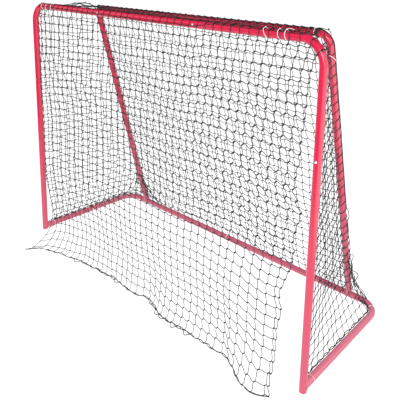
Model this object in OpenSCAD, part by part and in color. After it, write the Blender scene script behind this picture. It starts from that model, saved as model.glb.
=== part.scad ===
// Hockey goal: a bolted frame of round steel tube, a knotted net over the top, the back and
// both sides, and a loose net curtain that hangs over the mouth. All sizes are millimetres.
// X runs along the goal line, +Y runs into the goal, and the feet stand on Z = 0.

/* [Mouth] */
// Clear width between the two posts
mouth_w = 1600; // [1400:10:1830]
// Clear height from the floor to the crossbar
mouth_h = 1150; // [1000:10:1300]

/* [Frame] */
// Depth at the floor, from the posts' axes to the rear base bar's axis
base_depth = 560; // [450:10:800]
// Depth at the top, from the crossbar's axis to the rear top bar's axis
top_depth = 253; // [200:1:400]
// How far the rear top bar lies below the crossbar
rear_drop = 10; // [0:1:40]
// How far each rear leg stands inside its post, axis to axis
leg_inset = 138; // [125:1:220]
// Outside diameter of the frame tube
tube_d = 27; // [24:0.5:32]
// Wall of the frame tube
tube_wall = 1.5; // [1.2:0.1:2]
// Bend radius of the front corners and of the base corners, on the tube's axis
bend_r = 80; // [60:5:95]
// Bend radius of the two rear top corners, on the tube's axis
rear_bend_r = 45; // [40:5:90]

/* [Tube joints] */
// Height on the posts, and length along the rear legs, at which two tubes join
post_joint = 820; // [600:10:850]
// Length of the crossbar, the rear top bar and the rear base bar between their joints
centre_len = 604; // [450:2:640]
// Distance behind the goal line at which the side tube meets the base corner
side_joint = 300; // [200:5:320]
// Length of the reduced end that slides into the next tube
spigot_len = 45; // [35:1:60]
// Clearance all round a reduced end
spigot_gap = 0.2; // [0.1:0.05:0.4]
// Length over which the bore narrows to the reduced end
swage_len = 6; // [4:1:12]
// Distance from a joint to its screw
screw_setback = 20; // [15:1:25]

/* [Screws] */
// Thread diameter of the frame screws
screw_d = 6; // [5:0.5:7]
// Diameter of the domed screw head
head_d = 10; // [9:0.5:12]
// Height of the domed screw head
head_h = 3; // [2:0.5:4]
// Length of a screw below its head
screw_len = 12; // [10:1:14]
// Clearance round a screw in the two tube walls
hole_gap = 0.25; // [0.15:0.05:0.5]
// Diameter of the threaded boss inside the reduced end
boss_d = 9.5; // [9:0.5:12]
// Length of the threaded boss
boss_len = 7; // [5:0.5:8]
// Clearance round a screw in its threaded boss
thread_gap = 0.1; // [0.05:0.05:0.2]

/* [Foot plugs] */
// Thickness of the plug's foot under the post
plug_t = 3; // [2:0.5:5]
// Length of the plug inside the post
plug_len = 18; // [12:1:30]
// Clearance round the plug inside the post
plug_gap = 0.2; // [0.1:0.05:0.4]
// Diameter of the hollow in the top of the plug
plug_hollow_d = 16; // [10:1:18]

/* [Net] */
// Width of one mesh of the net
net_cell = 105; // [95:5:150]
// Width of one mesh of the curtain
curtain_cell = 125; // [115:5:150]
// Thickness of the twine
twine_d = 3; // [2:0.5:3.5]
// Clearance between the net and the tube that it lies on
net_gap = 0.3; // [0.2:0.1:0.5]
// Height over which each side net spreads out to its base tube
spread_h = 360; // [250:10:500]

/* [Curtain] */
// How far the hem lies in front of the goal line at mid-width
hem_reach = 45; // [35:5:80]
// How far the hem's left tip lies in front of the goal line
left_tip_reach = 170; // [100:5:250]
// How far the hem's right tip lies in front of the goal line
right_tip_reach = 105; // [80:5:250]
// Width over which the hem flares out to each tip
tip_w = 360; // [250:10:500]
// How far each of the two main folds stands out at the hem
fold_depth = 30; // [10:5:50]
// Half-width of a fold
fold_w = 80; // [60:5:120]
// Place of the left fold, left of the middle
left_fold_x = 200; // [100:10:300]
// Place of the right fold, right of the middle
right_fold_x = 540; // [450:10:560]

/* [Cable ties] */
// Width of a cable tie's band
tie_w = 2.5; // [2:0.1:5]
// Thickness of a cable tie's band
tie_t = 1; // [0.8:0.1:1.6]
// Clearance between a tie and the tube
tie_gap = 0.2; // [0.1:0.1:0.4]
// Room for the net's edge twine between a tie and the tube
tie_room = 2.8; // [2.6:0.1:4]
// Side of a cable tie's square head
tie_head = 4.5; // [4:0.5:8]

/* [Hidden] */
$fn = 48;
eps = 0.01;

red = "#e8304f";
zinc = "#e9e9ec";
black = "#23282b";
white = "#f4f4f2";

// Tube section
tube_r = tube_d / 2;
bore_r = tube_r - tube_wall;
spigot_r = bore_r - spigot_gap;
spigot_bore_r = spigot_r - tube_wall;

// Main lines of the frame
post_x = mouth_w / 2 + tube_r;
bar_z = mouth_h + tube_r;
base_z = tube_r + tie_gap + tie_t;
leg_x = post_x - leg_inset;
joint_x = centre_len / 2;
rear_z = bar_z - rear_drop;
lean = atan2(base_depth - top_depth, rear_z - base_z);
leg_len = round(norm([base_depth - top_depth, rear_z - base_z]) * 100) / 100;

// Net lines: a strand's axis lies this far from the axis of the tube that carries it
strand_r = twine_d / 2;
net_r = tube_r + net_gap + strand_r;
edge_angle = 35;                   // place of the back net's lowest and highest strand on the bars
top_angle = 15;                    // place of the top net's edges, off the bars' crowns
rear_screw_turn = 30;              // rear top bar's screws enter from below the back net's edge
leg_clear = head_d / 2 + 2 * twine_d;     // back net's edge strand from the line of leg screws
wrap_angles = [75, 28, -28];       // the curtain's strands round the front of the crossbar
wrap_r = net_r / cos(28);          // so that a strand between two of them clears the bar
curtain_x = post_x - bend_r;

// Ties
ring_r = tube_r + tie_room + tie_gap;     // inner radius of a tie on a base tube
bar_tie_lift = 4;                         // a crossbar tie also takes in the curtain's wraps
bar_ring_r = tube_r + bar_tie_lift + tie_gap;

// ---- frames of reference ---------------------------------------------------------------

// The leaning rear arch: X across, Z up the legs from the base bar's axis, +Y out behind
module rear_arch() {
  translate([0, base_depth, base_z]) rotate([lean, 0, 0]) children();
}

// A point of the rear arch: across, up the leg, and out behind the arch
function arch_point(x, up, out) = [x,
  base_depth - up * sin(lean) + out * cos(lean),
  base_z + up * cos(lean) + out * sin(lean)];

module both_sides() {
  children();
  mirror([1, 0, 0]) children();
}

// ---- tubes -----------------------------------------------------------------------------

// Straight tube along +Z with open ends
module tube(len) {
  difference() {
    cylinder(r = tube_r, h = len);
    translate([0, 0, -1]) cylinder(r = bore_r, h = len + 2);
  }
}

// Clearance hole for one screw, from the tube's axis out along -Y
module screw_hole() {
  rotate([90, 0, 0]) cylinder(d = screw_d + 2 * hole_gap, h = 2 * tube_r, $fn = 24);
}

// Straight arm of a bent tube along +Z, with its joint at Z = 0 and its reduced end below
module reduced_arm(len) {
  rotate_extrude() polygon([
    [spigot_bore_r, -spigot_len], [spigot_r, -spigot_len], [spigot_r, 0], [tube_r, 0],
    [tube_r, len], [bore_r, len], [bore_r, swage_len], [spigot_bore_r, swage_len]]);
}

// Bent corner tube: an upright arm at x0 from z_joint up, a bend, and a level arm at z0
// from x_joint out, with a reduced end on each arm
module corner_tube(x0, z0, turn_r, z_joint, x_joint) {
  translate([x0, 0, z_joint]) reduced_arm(z0 - turn_r - z_joint);
  translate([x0 - turn_r, 0, z0 - turn_r]) rotate([90, 0, 0])
    rotate_extrude(angle = 90) translate([turn_r, 0]) difference() {
      circle(r = tube_r);
      circle(r = bore_r);
    }
  translate([x_joint, 0, z0]) rotate([0, 90, 0]) reduced_arm(x0 - turn_r - x_joint);
}

// Lower half of a post: a straight tube on its foot plug, welded to the side tube
module lower_post() {
  color(red) difference() {
    translate([post_x, 0, plug_t]) tube(post_joint - plug_t);
    translate([post_x, 0, post_joint - screw_setback]) screw_hole();
  }
}

// Upper half of a post with the bent front corner and a third of the crossbar
module upper_corner() {
  color(red) difference() {
    corner_tube(post_x, bar_z, bend_r, post_joint, joint_x);
    translate([post_x, 0, post_joint - screw_setback]) screw_hole();
    translate([joint_x - screw_setback, 0, bar_z]) screw_hole();
  }
}

// Middle third of a bar: a straight tube that takes a reduced end at each end
module centre_tube() {
  color(red) difference() {
    translate([-joint_x, 0, 0]) rotate([0, 90, 0]) tube(centre_len);
    both_sides() translate([joint_x - screw_setback, 0, 0]) screw_hole();
  }
}

// Front half of a base side: its end is cut to the post's curve and welded to it
module side_tube() {
  color(red) difference() {
    translate([post_x, side_joint, base_z]) rotate([90, 0, 0]) tube(side_joint);
    translate([post_x, 0, -1]) cylinder(r = tube_r, h = 3 * tube_d);
    translate([post_x, side_joint - screw_setback, base_z]) rotate([0, 0, -90]) screw_hole();
  }
}

// Base corner: half a side, the bend and part of the rear bar, with a stub for the rear leg
module base_corner() {
  stub_len = tube_r + spigot_len;
  color(red) difference() {
    union() {
      translate([0, 0, base_z]) rotate([-90, 0, 0])
        corner_tube(post_x, base_depth, bend_r, side_joint, joint_x);
      difference() {
        rear_arch() translate([leg_x, 0, 0]) cylinder(r = spigot_r, h = stub_len);
        translate([leg_x - tube_d, base_depth, base_z]) rotate([0, 90, 0])
          cylinder(r = bore_r + tube_wall / 2, h = 2 * tube_d);
      }
    }
    rear_arch() translate([leg_x, 0, tube_r + 1]) cylinder(r = spigot_bore_r, h = stub_len);
    translate([post_x, side_joint - screw_setback, base_z]) rotate([0, 0, -90]) screw_hole();
    translate([joint_x - screw_setback, base_depth, base_z]) rotate([0, 0, 180]) screw_hole();
    rear_arch() translate([leg_x, 0, tube_r + screw_setback]) rotate([0, 0, 180]) screw_hole();
  }
}

// Lower part of a rear leg: its foot is cut to the base bar's curve and sits over the stub
module rear_leg() {
  color(red) rear_arch() difference() {
    translate([leg_x, 0, 0]) tube(post_joint);
    translate([leg_x - tube_d, 0, 0]) rotate([0, 90, 0]) cylinder(r = tube_r, h = 2 * tube_d);
    for (up = [tube_r + screw_setback, post_joint - screw_setback])
      translate([leg_x, 0, up]) rotate([0, 0, 180]) screw_hole();
  }
}

// Upper part of a rear leg with the bent corner and a third of the rear top bar
module rear_corner() {
  color(red) rear_arch() difference() {
    corner_tube(leg_x, leg_len, rear_bend_r, post_joint, joint_x);
    translate([leg_x, 0, post_joint - screw_setback]) rotate([0, 0, 180]) screw_hole();
    translate([joint_x - screw_setback, 0, leg_len]) rear_screw_way() screw_hole();
  }
}

// Turns a screw that enters along +Y to the rear top bar's own way in
module rear_screw_way() {
  rotate([-rear_screw_turn, 0, 0]) rotate([0, 0, 180]) children();
}

// Rear top bar, in the rear arch's frame
module rear_top_bar() {
  rear_arch() translate([0, 0, leg_len]) rear_screw_way() centre_tube();
}

// Plug that closes a post's foot and stands on the floor
module foot_plug() {
  color(red) translate([post_x, 0, 0]) difference() {
    union() {
      cylinder(r = tube_r, h = plug_t);
      cylinder(r = bore_r - plug_gap, h = plug_t + plug_len);
    }
    translate([0, 0, plug_t]) cylinder(d = plug_hollow_d, h = plug_len + 1);
  }
}

// ---- screws ----------------------------------------------------------------------------

// Every screw's place on the right half, with the piece's own frame turned so that the
// screw enters along +Y at the tube's axis
module at_screws() {
  both_sides() {
    translate([post_x, 0, post_joint - screw_setback]) children();
    translate([joint_x - screw_setback, 0, bar_z]) children();
    translate([post_x, side_joint - screw_setback, base_z]) rotate([0, 0, -90]) children();
    translate([joint_x - screw_setback, base_depth, base_z]) rotate([0, 0, 180]) children();
    rear_arch() {
      for (up = [tube_r + screw_setback, post_joint - screw_setback])
        translate([leg_x, 0, up]) rotate([0, 0, 180]) children();
      translate([joint_x - screw_setback, 0, leg_len]) rear_screw_way() children();
    }
  }
}

// Button-head screw: a domed head on the tube's crown and a shank through both walls
module screw() {
  dome_r = (head_d * head_d / 4 + head_h * head_h) / (2 * head_h);
  translate([0, -tube_r, 0]) rotate([90, 0, 0]) {
    translate([0, 0, -screw_len]) cylinder(d = screw_d, h = screw_len + eps, $fn = 24);
    difference() {
      translate([0, 0, head_h - dome_r]) sphere(r = dome_r);
      translate([0, 0, -2 * dome_r]) cylinder(r = 2 * dome_r, h = 2 * dome_r);
      translate([0, 0, head_h / 2]) cylinder(d = screw_d / 2, h = head_h, $fn = 6);
    }
  }
}

// Threaded boss fixed inside the reduced end, shaped to its bore
module screw_boss() {
  difference() {
    intersection() {
      translate([0, boss_len - spigot_bore_r, 0]) rotate([90, 0, 0])
        cylinder(d = boss_d, h = 2 * boss_len);
      translate([0, 0, -boss_d]) cylinder(r = spigot_bore_r, h = 2 * boss_d);
    }
    translate([0, tube_r, 0]) rotate([90, 0, 0])
      cylinder(d = screw_d + 2 * thread_gap, h = tube_d, $fn = 24);
  }
}

// The boss's bore runs along Y, so on tubes that lie across it the boss turns with the tube
module frame_screws() {
  color(zinc) at_screws() screw();
}

// Joints on upright tubes have the tube along Z, and those on bars have it along X
module screw_bosses() {
  color(zinc) both_sides() {
    translate([post_x, 0, post_joint - screw_setback]) screw_boss();
    translate([joint_x - screw_setback, 0, bar_z]) rotate([0, 90, 0]) screw_boss();
    translate([post_x, side_joint - screw_setback, base_z]) rotate([0, 0, -90])
      rotate([0, 90, 0]) screw_boss();
    translate([joint_x - screw_setback, base_depth, base_z]) rotate([0, 0, 180])
      rotate([0, 90, 0]) screw_boss();
    rear_arch() {
      for (up = [tube_r + screw_setback, post_joint - screw_setback])
        translate([leg_x, 0, up]) rotate([0, 0, 180]) screw_boss();
      translate([joint_x - screw_setback, 0, leg_len]) rear_screw_way()
        rotate([0, 90, 0]) screw_boss();
    }
  }
}

// ---- nets ------------------------------------------------------------------------------

function unit(v) = v / norm(v);

// Six points of a knot: front, back and the four corners between the strands
function knot(g, i, j, m, n) =
  let (p = g[i][j],
       a = unit(g[min(i + 1, m)][j] - g[max(i - 1, 0)][j]),
       b = unit(g[i][min(j + 1, n)] - g[i][max(j - 1, 0)]),
       c = unit(cross(a, b)),
       h = strand_r)
  [p + c * h, p - c * h, p + (a + b) * h, p + (b - a) * h, p - (a + b) * h, p + (a - b) * h];

function net_points(g) =
  let (m = len(g) - 1, n = len(g[0]) - 1)
  [for (i = [0:m]) for (j = [0:n]) for (p = knot(g, i, j, m, n)) p];

// Two triangles of the four-sided face p q r s
function quad(p, q, r, s) = [[p, r, q], [p, s, r]];

// Faces of a square-mesh net of m by n meshes. F and B are a knot's front and back, and
// NE, NW, SW and SE are its corners; each strand has four long faces.
function net_faces(m, n) =
  let (F = 0, B = 1, NE = 2, NW = 3, SW = 4, SE = 5, k = function(i, j) 6 * (i * (n + 1) + j))
  [for (i = [0:m]) for (j = [0:n]) let (p = k(i, j))
    each concat(
      i == m ? [] : let (q = k(i + 1, j)) concat(
        quad(p + F, q + F, q + NW, p + NE), quad(p + F, p + SE, q + SW, q + F),
        quad(p + B, p + NE, q + NW, q + B), quad(p + B, q + B, q + SW, p + SE)),
      j == n ? [] : let (q = k(i, j + 1)) concat(
        quad(p + F, p + NE, q + SE, q + F), quad(p + F, q + F, q + SW, p + NW),
        quad(p + B, q + B, q + SE, p + NE), quad(p + B, p + NW, q + SW, q + B)),
      i > 0 ? [] : [[p + F, p + SW, p + NW], [p + B, p + NW, p + SW]],
      i < m ? [] : [[p + F, p + NE, p + SE], [p + B, p + SE, p + NE]],
      j > 0 ? [] : [[p + F, p + SE, p + SW], [p + B, p + SW, p + SE]],
      j < n ? [] : [[p + F, p + NW, p + NE], [p + B, p + NE, p + NW]])];

module net(g) {
  color(black) polyhedron(net_points(g), net_faces(len(g) - 1, len(g[0]) - 1));
}

// Number of meshes along a length
function meshes(length, cell = net_cell) = max(2, round(length / cell));

// Top net: straight from the crossbar's crown to the rear top bar's crown
top_front_x = post_x - bend_r;
top_rear_x = leg_x - rear_bend_r;
top_front_y = net_r * sin(top_angle);
top_rear_y = top_depth - net_r * sin(top_angle);
top_cols = meshes(2 * top_front_x, curtain_cell);
top_rows = meshes(top_rear_y - top_front_y);
top_grid = [for (i = [0:top_cols]) [for (j = [0:top_rows])
  let (u = 2 * i / top_cols - 1, v = j / top_rows)
  [u * (top_front_x + v * (top_rear_x - top_front_x)), top_front_y + v * (top_rear_y - top_front_y),
   bar_z - v * rear_drop + net_r * cos(top_angle)]]];

// Back net: on the plane behind the leaning arch, ending on the backs of its two bars
back_x = leg_x - leg_clear;
back_cols = meshes(2 * back_x);
back_rows = meshes(leg_len);
back_grid = [for (i = [0:back_cols]) [for (j = [0:back_rows])
  let (x = back_x * (2 * i / back_cols - 1))
  j == 0 ? [x, base_depth + net_r * cos(edge_angle), base_z + net_r * sin(edge_angle)]
  : j == back_rows ? [x, top_depth + net_r * cos(edge_angle), rear_z + net_r * sin(edge_angle)]
  : arch_point(x, leg_len * j / back_rows, net_r)]];

// Side net, right-hand side. Its foot follows the base tubes' crowns from the post round the
// bend to the leg, its front edge runs behind the post and its rear edge outside the leg.
side_straight = base_depth - bend_r - net_r;
side_runs = meshes(side_straight);
side_cols = side_runs + 2;
side_rows = meshes(bar_z);
half_turn = sqrt(0.5);

// Foot of the net: even steps along the side bar, one knot on the bend, one at the leg
function side_foot(i) = i <= side_runs
  ? [post_x, net_r + side_straight * i / side_runs, base_z + net_r]
  : i < side_cols
    ? [post_x - bend_r * (1 - half_turn), base_depth - bend_r * (1 - half_turn), base_z + net_r]
    : [leg_x + net_r, base_depth, base_z + net_r];

// Front edge: up behind the post, then one knot behind the bend
function side_front(j) = j < side_rows
  ? [post_x, net_r, base_z + net_r + (bar_z - bend_r - base_z - net_r) * j / (side_rows - 1)]
  : [post_x - bend_r * (1 - half_turn), net_r, bar_z - bend_r * (1 - half_turn)];

// Rear edge: up outside the leg, then one knot outside the bend
rear_foot_up = (net_r + tube_r * sin(lean)) / cos(lean);
function side_rear(j) = j < side_rows
  ? arch_point(leg_x + net_r,
      rear_foot_up + (leg_len - rear_bend_r - rear_foot_up) * j / (side_rows - 1), 0)
  : arch_point(leg_x - rear_bend_r + (rear_bend_r + net_r) * half_turn,
      leg_len - rear_bend_r + (rear_bend_r + net_r) * half_turn, 0);

// The net is flat between post and leg, and spreads out to the base tubes near the floor
side_grid = [for (i = [0:side_cols]) [for (j = [0:side_rows])
  let (u = (i <= side_runs ? i : i < side_cols ? side_runs + 0.6 : side_runs + 1.4)
           / (side_runs + 1.4),
       front = side_front(j),
       spread = pow(max(0, 1 - (front.z - side_foot(0).z) / spread_h), 1.6),
       flat_foot = (1 - u) * side_foot(0) + u * side_foot(side_cols))
  i == side_cols ? side_rear(j)
  : (1 - u) * front + u * side_rear(j) + spread * (side_foot(i) - flat_foot)]];

// Curtain: wraps over the front of the crossbar, hangs to the floor and flares at the hem
curtain_cols = meshes(2 * curtain_x, curtain_cell);
curtain_rows = meshes(bar_z, curtain_cell);
wraps = len(wrap_angles);
folds = [-left_fold_x, right_fold_x];

function hem_y(x) = let (
    left = max(0, 1 - (x + curtain_x) / tip_w),
    right = max(0, 1 - (curtain_x - x) / tip_w))
  hem_reach + (left_tip_reach - hem_reach) * left * left
    + (right_tip_reach - hem_reach) * right * right;

function fold_y(x) = fold_depth * max([for (f = folds) exp(-pow((x - f) / fold_w, 2))]);

function wrap_point(x, k) =
  [x, -wrap_r * cos(wrap_angles[k]), bar_z + wrap_r * sin(wrap_angles[k])];

hang_y = net_r;
hang_z = bar_z + wrap_r * sin(wrap_angles[wraps - 1]);
function hang_point(x, k) = let (down = k / curtain_rows)
  [x, -hang_y - (hem_y(x) - hang_y) * pow(down, 3) - fold_y(x) * down * down,
   hang_z + (strand_r - hang_z) * down];

curtain_grid = [for (i = [0:curtain_cols]) let (x = curtain_x * (1 - 2 * i / curtain_cols))
  [for (j = [0:wraps + curtain_rows - 1])
    j < wraps ? wrap_point(x, j) : hang_point(x, j - wraps + 1)]];

// ---- cable ties ------------------------------------------------------------------------

// Tie round a tube that lies along Z: a band, lifted towards +Y, with its square head.
// The head sits on the band's outer face, at an angle round the tube.
module tie(ring, lift, head_angle) {
  translate([0, lift, -tie_w / 2]) difference() {
    union() {
      cylinder(r = ring + tie_t, h = tie_w);
      rotate([0, 0, head_angle]) translate([ring, -tie_head / 2, (tie_w - tie_head) / 2])
        cube([tie_head * 0.8, tie_head, tie_head]);
    }
    translate([0, 0, -tie_head]) cylinder(r = ring, h = 3 * tie_head);
  }
}

// Moves a tie's place p along its tube to at least room away from the point c
function clear_of(p, c, room) = abs(p - c) >= room ? p : p < c ? c - room : c + room;

// The same for a tie among strands that stand every pitch from start
function off_strands(p, start, pitch) =
  clear_of(p, start + pitch * round((p - start) / pitch), tie_head / 2 + twine_d + 1);

tie_to_screw = (head_d + tie_head) / 2 + 3;
side_pitch = side_straight / side_runs;
bar_pitch = 2 * curtain_x / curtain_cols;
back_pitch = 2 * back_x / back_cols;
// Shares of the straight side and of half the crossbar, and places round the bends
side_ties = [0.1];
bar_ties = [-0.984, -0.936, -0.876, 0.824, 0.894, 0.93];
base_bend_tie = 36;
leg_tie = 50;                      // this far below the rear bend
leg_pitch = (leg_len - rear_bend_r - rear_foot_up) / (side_rows - 1);

module base_ties() {
  color(white) {
    both_sides() {
      for (share = side_ties)
        let (y = clear_of(share * (base_depth - bend_r), side_joint - screw_setback, tie_to_screw))
        translate([post_x, off_strands(y, net_r, side_pitch), base_z])
          rotate([90, 0, 0]) tie(ring_r, tie_room, 135);
      translate([post_x - bend_r, base_depth - bend_r, base_z]) rotate([0, 0, base_bend_tie])
        translate([bend_r, 0, 0]) rotate([90, 0, 0]) tie(ring_r, tie_room, 135);
    }
    translate([off_strands(-28, back_x, back_pitch), base_depth, base_z])
      rotate([90, 0, 90]) tie(ring_r, tie_room, 130);
  }
}

module top_ties() {
  color(white) {
    for (share = bar_ties)
      translate([off_strands(share * curtain_x, curtain_x, bar_pitch), 0, bar_z])
        rotate([90, 0, 90]) rotate([0, 0, 65]) tie(bar_ring_r, bar_tie_lift, 130);
    rear_arch() translate([leg_x, 0, off_strands(leg_len - rear_bend_r - leg_tie, rear_foot_up, leg_pitch)])
      rotate([0, 0, -90]) tie(ring_r, tie_room, 298);
    translate([off_strands(top_rear_x - 18, back_x, back_pitch), top_depth, rear_z])
      rotate([90, 0, 90]) rotate([0, 0, -28]) tie(bar_ring_r, bar_tie_lift, 100);
  }
}

// ---- the goal --------------------------------------------------------------------------

// The finished goal's origin is on the floor in the middle of its footprint
front_y = min([for (p = net_points(curtain_grid)) p.y]);
rear_y = base_depth + ring_r + tie_t;
mid_y = (front_y + rear_y) / 2;

module placed() {
  translate([0, -mid_y, 0]) children();
}

module placed_left() {
  placed() mirror([1, 0, 0]) children();
}

placed_left() lower_post();  // left_lower_post
placed() lower_post();  // right_lower_post
placed_left() upper_corner();  // left_upper_corner
placed() upper_corner();  // right_upper_corner
placed() translate([0, 0, bar_z]) centre_tube();  // crossbar
placed_left() side_tube();  // left_side_tube
placed() side_tube();  // right_side_tube
placed_left() base_corner();  // left_base_corner
placed() base_corner();  // right_base_corner
placed() translate([0, base_depth, base_z]) rotate([0, 0, 180]) centre_tube();  // rear_base_bar
placed_left() rear_leg();  // left_rear_leg
placed() rear_leg();  // right_rear_leg
placed_left() rear_corner();  // left_rear_corner
placed() rear_corner();  // right_rear_corner
placed() rear_top_bar();
placed_left() foot_plug();  // left_foot_plug
placed() foot_plug();  // right_foot_plug
placed() frame_screws();
placed() screw_bosses();
placed() base_ties();
placed() top_ties();
placed() net(top_grid);  // top_net
placed() net(back_grid);  // back_net
placed_left() net(side_grid);  // left_side_net
placed() net(side_grid);  // right_side_net
placed() net(curtain_grid);  // front_curtain
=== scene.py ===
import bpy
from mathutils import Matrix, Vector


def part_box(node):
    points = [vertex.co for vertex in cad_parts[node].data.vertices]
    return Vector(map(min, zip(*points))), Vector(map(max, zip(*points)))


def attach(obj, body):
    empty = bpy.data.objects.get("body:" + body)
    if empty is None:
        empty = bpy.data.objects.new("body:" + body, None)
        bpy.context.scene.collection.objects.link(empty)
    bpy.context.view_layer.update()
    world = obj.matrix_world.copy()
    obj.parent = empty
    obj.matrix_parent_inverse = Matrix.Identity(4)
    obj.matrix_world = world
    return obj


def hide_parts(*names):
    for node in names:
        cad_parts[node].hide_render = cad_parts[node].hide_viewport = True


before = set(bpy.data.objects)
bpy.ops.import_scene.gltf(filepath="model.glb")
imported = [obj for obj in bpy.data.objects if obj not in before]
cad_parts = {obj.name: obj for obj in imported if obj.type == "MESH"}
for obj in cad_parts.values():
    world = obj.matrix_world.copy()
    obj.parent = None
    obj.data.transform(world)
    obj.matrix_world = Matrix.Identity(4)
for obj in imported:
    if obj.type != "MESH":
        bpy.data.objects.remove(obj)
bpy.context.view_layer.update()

import math

import bpy
import numpy as np
from mathutils import Vector

# ---- Red frame tubes --------------------------------------------------------------------
# The goal's frame is 27 mm round steel tube with a 1.5 mm wall, bent, cut and powder coated
# in one bright red. Each bent tube's reduced end slides into the next tube and is screwed.


def rgb(code):
    """sRGB hex, as on a colour card, to the linear values that a shader takes."""
    parts = [int(code[k:k + 2], 16) / 255 for k in (1, 3, 5)]
    return [p / 12.92 if p <= 0.04045 else ((p + 0.055) / 1.055) ** 2.4 for p in parts] + [1.0]


def feed(node, inputs):
    """Gives each named input of a node its value, or links it from a socket."""
    for key, value in inputs.items():
        if isinstance(value, bpy.types.NodeSocket):
            node.id_data.links.new(value, node.inputs[key])
        else:
            node.inputs[key].default_value = value


def put(tree, kind, inputs=None, **settings):
    """Adds one node with its settings, feeds its inputs and gives its outputs."""
    node = tree.nodes.new(kind)
    for key, value in settings.items():
        setattr(node, key, value)
    feed(node, inputs or {})
    return node.outputs


def new_finish(name):
    """A new material, with its nodes, its shader and the goal's coordinates."""
    material = bpy.data.materials.new(name)
    material.use_nodes = True
    tree = material.node_tree
    return material, tree, tree.nodes["Principled BSDF"], put(tree, "ShaderNodeTexCoord")


# Polyester powder coat over steel: a closed, satin to gloss film that flows out with a fine
# orange peel, so the long highlights on the tubes are soft and slightly broken.
powder_coat, tree, shader, place = new_finish("red_polyester_powder_coat")
# Film thickness changes slowly along a tube: about one shade in 150 mm
drift = put(tree, "ShaderNodeTexNoise", {"Vector": place["Object"], "Scale": 7.0, "Detail": 3.0})
shade = put(tree, "ShaderNodeMix",
            {"Factor": drift["Fac"], "A": rgb("#d21c46"), "B": rgb("#c5193e")}, data_type="RGBA")
# A duller, darker pink up to 0.75 m, most at the floor, and at any height at the back is painted
# shade
spot = put(tree, "ShaderNodeSeparateXYZ", {"Vector": place["Object"]})
low = put(tree, "ShaderNodeMapRange", {"Value": spot["Z"], "From Max": 0.75, "To Min": 0.36,
                                       "To Max": 0.0}, interpolation_type="SMOOTHSTEP")
# this mask paints shade at the back of the goal
painted_back_shade = put(tree, "ShaderNodeMapRange", {"Value": spot["Y"], "From Min": -0.02, "From Max": 0.25,
                                       "To Min": 0.02, "To Max": 0.20},
          interpolation_type="SMOOTHSTEP")
dulling = put(tree, "ShaderNodeMath", {0: low["Result"], 1: painted_back_shade["Result"]}, operation="ADD")
# the mix paints that shade in a duller, darker pink
shade = put(tree, "ShaderNodeMix",
            {"Factor": dulling["Value"], "A": shade["Result"], "B": rgb("#b3728a")}, data_type="RGBA")
# A pale pink on the upper faces of the low side tubes, but not on the rear bar, is a painted
# highlight of the light from above
face = put(tree, "ShaderNodeSeparateXYZ", {"Vector": put(tree, "ShaderNodeNewGeometry")["Normal"]})
flat = put(tree, "ShaderNodeMapRange", {"Value": face["Z"]})
rear = put(tree, "ShaderNodeMapRange", {"Value": spot["Y"], "From Min": 0.36, "From Max": 0.30})
painted_top_light = low["Result"]
for part in (flat, rear):
    painted_top_light = put(tree, "ShaderNodeMath", {0: painted_top_light, 1: part["Result"]},
                  operation="MULTIPLY")["Value"]
# the mix paints that top light in pale pink
shade = put(tree, "ShaderNodeMix",
            {"Factor": painted_top_light, "A": shade["Result"], "B": rgb("#f7a3b8")}, data_type="RGBA")
# Orange peel has dimples about 2 mm apart; drawn at 3 mm so that it shows
peel = put(tree, "ShaderNodeTexNoise", {"Vector": place["Object"], "Scale": 340.0, "Detail": 2.0})
dimple = put(tree, "ShaderNodeBump", {"Height": peel["Fac"], "Strength": 0.12, "Distance": 0.0006})
gloss = put(tree, "ShaderNodeMapRange", {"Value": drift["Fac"], "To Min": 0.17, "To Max": 0.27})
feed(shader, {"Base Color": shade["Result"], "Roughness": gloss["Result"],
              "Normal": dimple["Normal"], "IOR": 1.5})


def dress(node, material):
    """Gives a node of the frame its finish."""
    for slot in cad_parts[node].material_slots:
        slot.material = material


for node in ("left_lower_post", "right_lower_post", "left_upper_corner", "right_upper_corner",
             "crossbar", "left_side_tube", "right_side_tube", "left_base_corner",
             "right_base_corner", "rear_base_bar", "left_rear_leg", "right_rear_leg",
             "left_rear_corner", "right_rear_corner", "rear_top_bar"):
    dress(node, powder_coat)


def middle(node):
    """The middle of a node's box, which for a straight tube lies on its axis."""
    low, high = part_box(node)
    return (low + high) / 2


TUBE_R = 0.0135
BEND_R = 0.080                               # front and base corners
REAR_BEND_R = 0.045                          # rear top corners
bar = middle("crossbar")
rear_bar = middle("rear_top_bar")
base_bar = middle("rear_base_bar")
post_x = middle("right_lower_post").x
leg_x = middle("right_rear_leg").x
base_z = base_bar.z
line_y = bar.y                               # the goal line
side_straight = base_bar.y - line_y - BEND_R     # a base side from its post to its bend

# ---- Weld beads at the posts' feet -------------------------------------------------------
# Each side tube is cut to the post's curve and MIG welded to it before coating. The bead is
# about 4 mm wide, rippled every 2 mm where the torch moved on, and coated with the tubes.

BEAD_R = 0.0019
RIPPLE, RIPPLES = 0.00025, 42                # their height, and how many go round the tube
LAY = 0.008                                  # one turn of a twine's strands


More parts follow.
